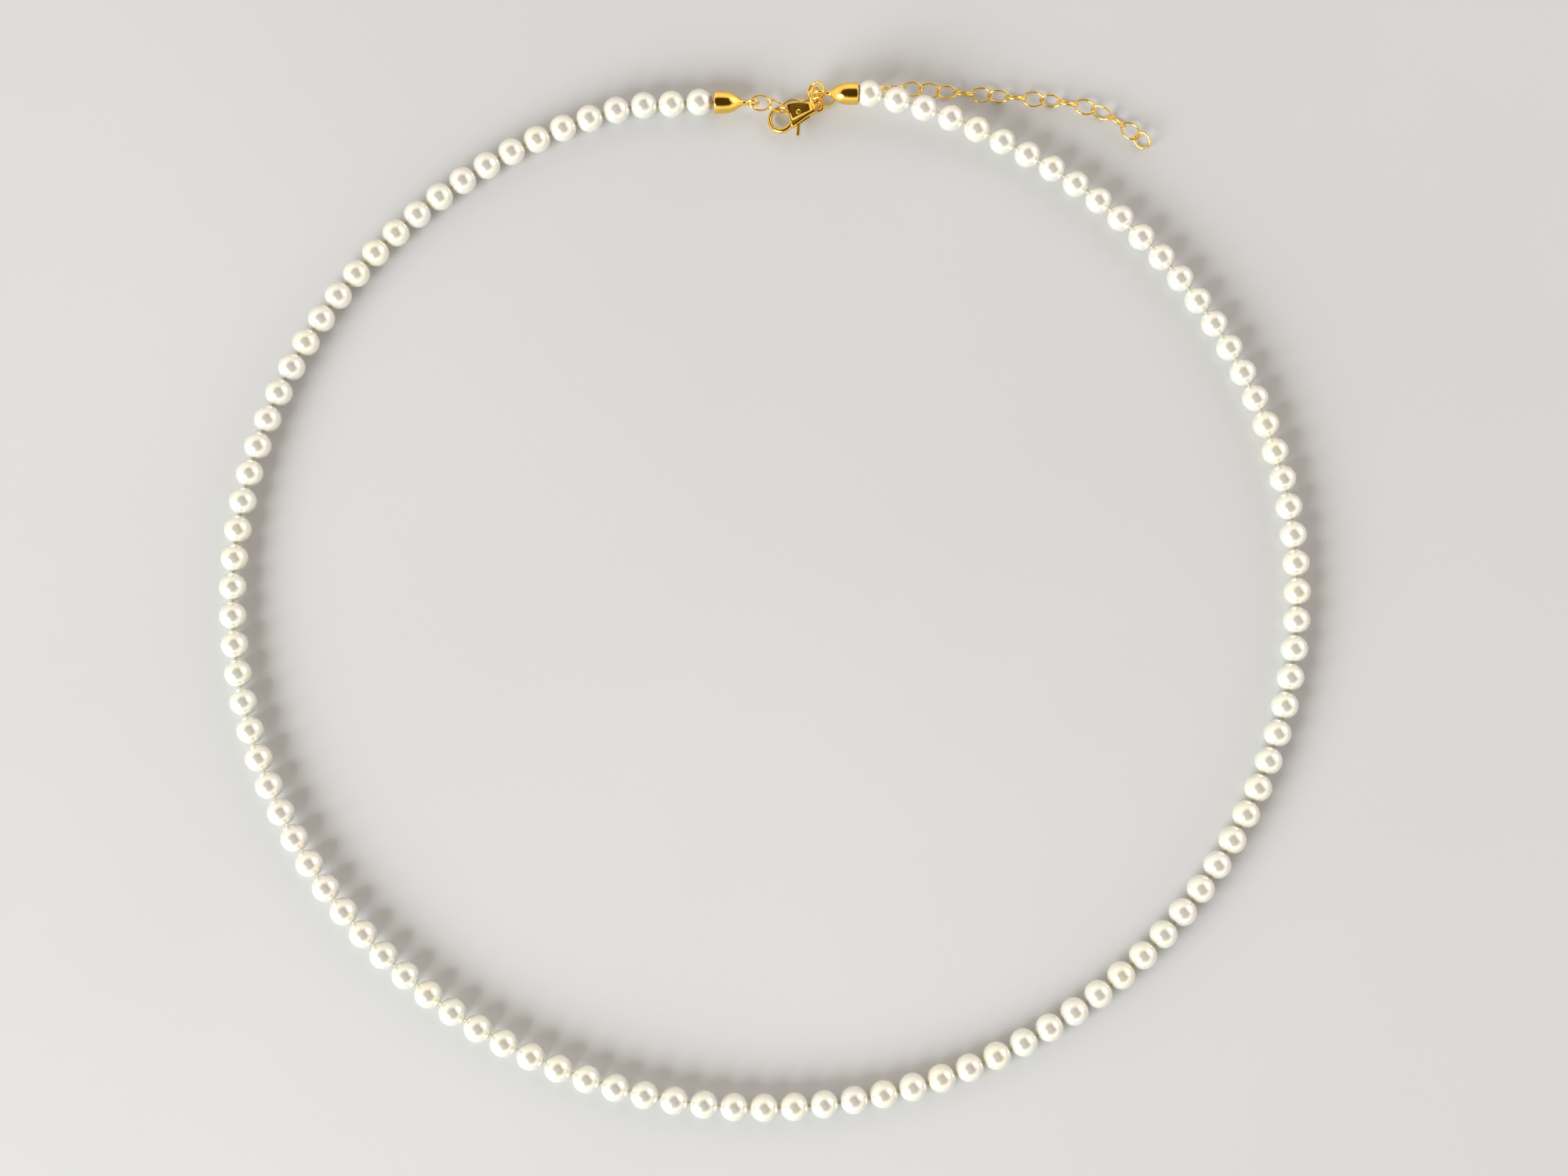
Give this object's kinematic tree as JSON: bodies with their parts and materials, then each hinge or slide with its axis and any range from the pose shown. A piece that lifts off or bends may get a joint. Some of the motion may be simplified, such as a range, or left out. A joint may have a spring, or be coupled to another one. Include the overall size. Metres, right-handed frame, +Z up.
{
  "type": "pearl necklace",
  "caption": "Clasped strand of small round white pearls with bullet end caps, a lobster clasp and a gold extender chain that ends in a round jump ring.",
  "frame": {"origin": "middle of the outline in X and Y, on the surface the necklace lies on", "axes": "+Z up from the surface; +Y from the middle of the loop towards the clasp; +X from the middle of the loop towards the side the extender chain lies on"},
  "size_m": [0.1554, 0.1507, 0.006],
  "materials": {
    "pearl": "nacre lustre, near-white with faint pink and green overtones",
    "thread": "pale silk cord",
    "gold": "polished yellow gold"
  },
  "bodies": {
    "strand_01": {"pearls_01": "pearl", "thread_01": "thread", "end_cap_left": "gold", "crimp_left": "gold"},
    "strand_02": {"pearls_02": "pearl", "thread_02": "thread"},
    "strand_03": {"pearls_03": "pearl", "thread_03": "thread"},
    "strand_04": {"pearls_04": "pearl", "thread_04": "thread"},
    "strand_05": {"pearls_05": "pearl", "thread_05": "thread"},
    "strand_06": {"pearls_06": "pearl", "thread_06": "thread"},
    "strand_07": {"pearls_07": "pearl", "thread_07": "thread"},
    "strand_08": {"pearls_08": "pearl", "thread_08": "thread"},
    "strand_09": {"pearls_09": "pearl", "thread_09": "thread"},
    "strand_10": {"pearls_10": "pearl", "thread_10": "thread"},
    "strand_11": {"pearls_11": "pearl", "thread_11": "thread"},
    "strand_12": {"pearls_12": "pearl", "thread_12": "thread"},
    "strand_13": {"pearls_13": "pearl", "thread_13": "thread", "end_cap_right": "gold", "crimp_right": "gold"},
    "chain_link_01": {"chain_link_01": "gold"},
    "chain_link_02": {"chain_link_02": "gold"},
    "chain_link_03": {"chain_link_03": "gold"},
    "chain_link_04": {"chain_link_04": "gold"},
    "chain_link_05": {"chain_link_05": "gold"},
    "chain_link_06": {"chain_link_06": "gold"},
    "chain_link_07": {"chain_link_07": "gold"},
    "chain_link_08": {"chain_link_08": "gold"},
    "chain_link_09": {"chain_link_09": "gold"},
    "chain_link_10": {"chain_link_10": "gold"},
    "chain_link_11": {"chain_link_11": "gold"},
    "chain_link_12": {"chain_link_12": "gold"},
    "chain_link_13": {"chain_link_13": "gold"},
    "chain_link_14": {"chain_link_14": "gold"},
    "chain_link_15": {"chain_link_15": "gold"},
    "chain_link_16": {"chain_link_16": "gold"},
    "chain_link_17": {"chain_link_17": "gold"},
    "chain_link_18": {"chain_link_18": "gold"},
    "chain_link_19": {"chain_link_19": "gold"},
    "chain_link_20": {"chain_link_20": "gold"},
    "chain_link_21": {"chain_link_21": "gold"},
    "chain_link_22": {"chain_link_22": "gold"},
    "chain_link_23": {"chain_link_23": "gold"},
    "chain_end_ring": {"chain_end_ring": "gold"},
    "cap_ring": {"cap_ring": "gold"},
    "clasp_ring": {"clasp_ring": "gold"},
    "clasp": {"clasp_body": "gold", "clasp_rivet": "gold", "clasp_spring": "gold"},
    "clasp_lever": {"clasp_lever": "gold"}
  },
  "joints": [
    {"name": "bend_01", "type": "hinge", "parent": "strand_02", "child": "strand_01", "pos_m": [-0.0202, 0.07066, 0.002], "axis": [0, 0, 1], "range_deg": [-21, 21]},
    {"name": "bend_02", "type": "hinge", "parent": "strand_03", "child": "strand_02", "pos_m": [-0.05246, 0.05277, 0.002], "axis": [0, 0, 1], "range_deg": [-21, 21]},
    {"name": "bend_03", "type": "hinge", "parent": "strand_04", "child": "strand_03", "pos_m": [-0.07087, 0.02548, 0.002], "axis": [0, 0, 1], "range_deg": [-21, 21]},
    {"name": "bend_04", "type": "hinge", "parent": "strand_05", "child": "strand_04", "pos_m": [-0.07489, -0.01122, 0.002], "axis": [0, 0, 1], "range_deg": [-21, 21]},
    {"name": "bend_05", "type": "hinge", "parent": "strand_06", "child": "strand_05", "pos_m": [-0.06258, -0.04172, 0.002], "axis": [0, 0, -1], "range_deg": [-20, 20]},
    {"name": "bend_06", "type": "hinge", "parent": "strand_07", "child": "strand_06", "pos_m": [-0.03442, -0.06564, 0.002], "axis": [0, 0, 1], "range_deg": [-20, 20]},
    {"name": "bend_07", "type": "hinge", "parent": "strand_07", "child": "strand_08", "pos_m": [0.02215, -0.07007, 0.002], "axis": [0, 0, 1], "range_deg": [-20, 20]},
    {"name": "bend_08", "type": "hinge", "parent": "strand_08", "child": "strand_09", "pos_m": [0.0509, -0.054, 0.002], "axis": [0, 0, 1], "range_deg": [-21, 21]},
    {"name": "bend_09", "type": "hinge", "parent": "strand_09", "child": "strand_10", "pos_m": [0.07157, -0.02338, 0.002], "axis": [0, 0, 1], "range_deg": [-21, 21]},
    {"name": "bend_10", "type": "hinge", "parent": "strand_10", "child": "strand_11", "pos_m": [0.07518, 0.00932, 0.002], "axis": [0, 0, 1], "range_deg": [-21, 21]},
    {"name": "bend_11", "type": "hinge", "parent": "strand_11", "child": "strand_12", "pos_m": [0.06139, 0.04357, 0.002], "axis": [0, 0, 1], "range_deg": [-21, 21]},
    {"name": "bend_12", "type": "hinge", "parent": "strand_12", "child": "strand_13", "pos_m": [0.0363, 0.06488, 0.00208], "axis": [0, 0, 1], "range_deg": [-21, 21]},
    {"name": "turn_link_01", "type": "hinge", "parent": "strand_01", "child": "chain_link_01", "pos_m": [-0.00235, 0.0716, 0.002], "axis": [0, 0, 1], "range_deg": [-1, 2]},
    {"name": "turn_link_02", "type": "hinge", "parent": "chain_link_01", "child": "chain_link_02", "pos_m": [0.00021, 0.07147, 0.00211], "axis": [0, 0, -1], "range_deg": [-6, 1]},
    {"name": "turn_link_03", "type": "hinge", "parent": "chain_link_02", "child": "chain_link_03", "pos_m": [0.00239, 0.07112, 0.00078], "axis": [0, 0, 1], "range_deg": [-1, 4]},
    {"name": "turn_link_04", "type": "hinge", "parent": "chain_link_03", "child": "chain_link_04", "pos_m": [0.0049, 0.07166, 0.00085], "axis": [0, 0, -1], "range_deg": [-8, 0]},
    {"name": "turn_link_05", "type": "hinge", "parent": "chain_link_04", "child": "chain_link_05", "pos_m": [0.00734, 0.07245, 0.00088], "axis": [0, 0, 1], "range_deg": [0, 8]},
    {"name": "turn_link_06", "type": "hinge", "parent": "chain_link_05", "child": "chain_link_06", "pos_m": [0.00984, 0.07307, 0.00082], "axis": [0, 0, -1], "range_deg": [-8, 0]},
    {"name": "turn_link_07", "type": "hinge", "parent": "chain_link_06", "child": "chain_link_07", "pos_m": [0.01238, 0.07343, 0.00082], "axis": [0, 0, 1], "range_deg": [0, 8]},
    {"name": "turn_link_08", "type": "hinge", "parent": "chain_link_07", "child": "chain_link_08", "pos_m": [0.01492, 0.07379, 0.00095], "axis": [0, 0, -1], "range_deg": [-12, 2]},
    {"name": "turn_link_09", "type": "hinge", "parent": "chain_link_08", "child": "chain_link_09", "pos_m": [0.01744, 0.07419, 0.00127], "axis": [0, 0, 1], "range_deg": [-2, 12]},
    {"name": "turn_link_10", "type": "hinge", "parent": "chain_link_09", "child": "chain_link_10", "pos_m": [0.02001, 0.07419, 0.00125], "axis": [0, 0, -1], "range_deg": [-12, 2]},
    {"name": "turn_link_11", "type": "hinge", "parent": "chain_link_10", "child": "chain_link_11", "pos_m": [0.02258, 0.0741, 0.00115], "axis": [0, 0, 1], "range_deg": [-2, 12]},
    {"name": "turn_link_12", "type": "hinge", "parent": "chain_link_11", "child": "chain_link_12", "pos_m": [0.02513, 0.07383, 0.00113], "axis": [0, 0, -1], "range_deg": [-12, 2]},
    {"name": "turn_link_13", "type": "hinge", "parent": "chain_link_12", "child": "chain_link_13", "pos_m": [0.0277, 0.07365, 0.00113], "axis": [0, 0, 1], "range_deg": [-2, 12]},
    {"name": "turn_link_14", "type": "hinge", "parent": "chain_link_13", "child": "chain_link_14", "pos_m": [0.03026, 0.07347, 0.00113], "axis": [0, 0, -1], "range_deg": [-15, 15]},
    {"name": "turn_link_15", "type": "hinge", "parent": "chain_link_14", "child": "chain_link_15", "pos_m": [0.03282, 0.07324, 0.00113], "axis": [0, 0, 1], "range_deg": [-15, 15]},
    {"name": "turn_link_16", "type": "hinge", "parent": "chain_link_15", "child": "chain_link_16", "pos_m": [0.03538, 0.07307, 0.00113], "axis": [0, 0, -1], "range_deg": [-15, 15]},
    {"name": "turn_link_17", "type": "hinge", "parent": "chain_link_16", "child": "chain_link_17", "pos_m": [0.03795, 0.07289, 0.00113], "axis": [0, 0, 1], "range_deg": [-15, 15]},
    {"name": "turn_link_18", "type": "hinge", "parent": "chain_link_17", "child": "chain_link_18", "pos_m": [0.04051, 0.07266, 0.00113], "axis": [0, 0, -1], "range_deg": [-15, 15]},
    {"name": "turn_link_19", "type": "hinge", "parent": "chain_link_18", "child": "chain_link_19", "pos_m": [0.04306, 0.07235, 0.00113], "axis": [0, 0, 1], "range_deg": [-15, 15]},
    {"name": "turn_link_20", "type": "hinge", "parent": "chain_link_19", "child": "chain_link_20", "pos_m": [0.0456, 0.07195, 0.00113], "axis": [0, 0, -1], "range_deg": [-15, 15]},
    {"name": "turn_link_21", "type": "hinge", "parent": "chain_link_20", "child": "chain_link_21", "pos_m": [0.04808, 0.07128, 0.00113], "axis": [0, 0, 1], "range_deg": [-15, 15]},
    {"name": "turn_link_22", "type": "hinge", "parent": "chain_link_21", "child": "chain_link_22", "pos_m": [0.05043, 0.07024, 0.00113], "axis": [0, 0, -1], "range_deg": [-15, 15]},
    {"name": "turn_link_23", "type": "hinge", "parent": "chain_link_22", "child": "chain_link_23", "pos_m": [0.05253, 0.06876, 0.00115], "axis": [0, 0, 1], "range_deg": [-15, 15]},
    {"name": "turn_end_ring", "type": "hinge", "parent": "chain_link_23", "child": "chain_end_ring", "pos_m": [0.0545, 0.06711, 0.0012], "axis": [0, 0, -1], "range_deg": [-20, 20]},
    {"name": "cap_ring_swing", "type": "hinge", "parent": "strand_13", "child": "cap_ring", "pos_m": [0.00685, 0.0724, 0.004], "axis": [0, 0, 1], "range_deg": [-2, 2]},
    {"name": "clasp_ring_swing", "type": "hinge", "parent": "cap_ring", "child": "clasp_ring", "pos_m": [0.0069, 0.0724, 0.0038], "axis": [0, 0, -1], "range_deg": [-2, 3]},
    {"name": "clasp_swing", "type": "hinge", "parent": "clasp_ring", "child": "clasp", "pos_m": [0.0069, 0.0708, 0.0029], "axis": [0, 0, 1], "range_deg": [-3, 2]},
    {"name": "lever_turn", "type": "hinge", "parent": "clasp", "child": "clasp_lever", "pos_m": [0.00454, 0.07008, 0.00221], "axis": [-0.25, -0.067, 0.9659], "range_deg": [0, 13], "stiffness_Nm_per_rad": 0.0002, "springref_deg": -10, "deforming": ["clasp_spring"]}
  ],
  "couplings": [
    {"joint": "bend_01", "follows": "bend_07", "ratio": -0.9696},
    {"joint": "bend_02", "follows": "bend_05", "ratio": 0.9997},
    {"joint": "bend_03", "follows": "bend_06", "ratio": -0.9997},
    {"joint": "bend_04", "follows": "bend_07", "ratio": 0.9696},
    {"joint": "bend_08", "follows": "bend_05", "ratio": -0.9685},
    {"joint": "bend_09", "follows": "bend_06", "ratio": 1.0326},
    {"joint": "bend_10", "follows": "bend_07", "ratio": -1},
    {"joint": "bend_11", "follows": "bend_05", "ratio": 0.9681},
    {"joint": "bend_12", "follows": "bend_06", "ratio": -1.0322}
  ]
}
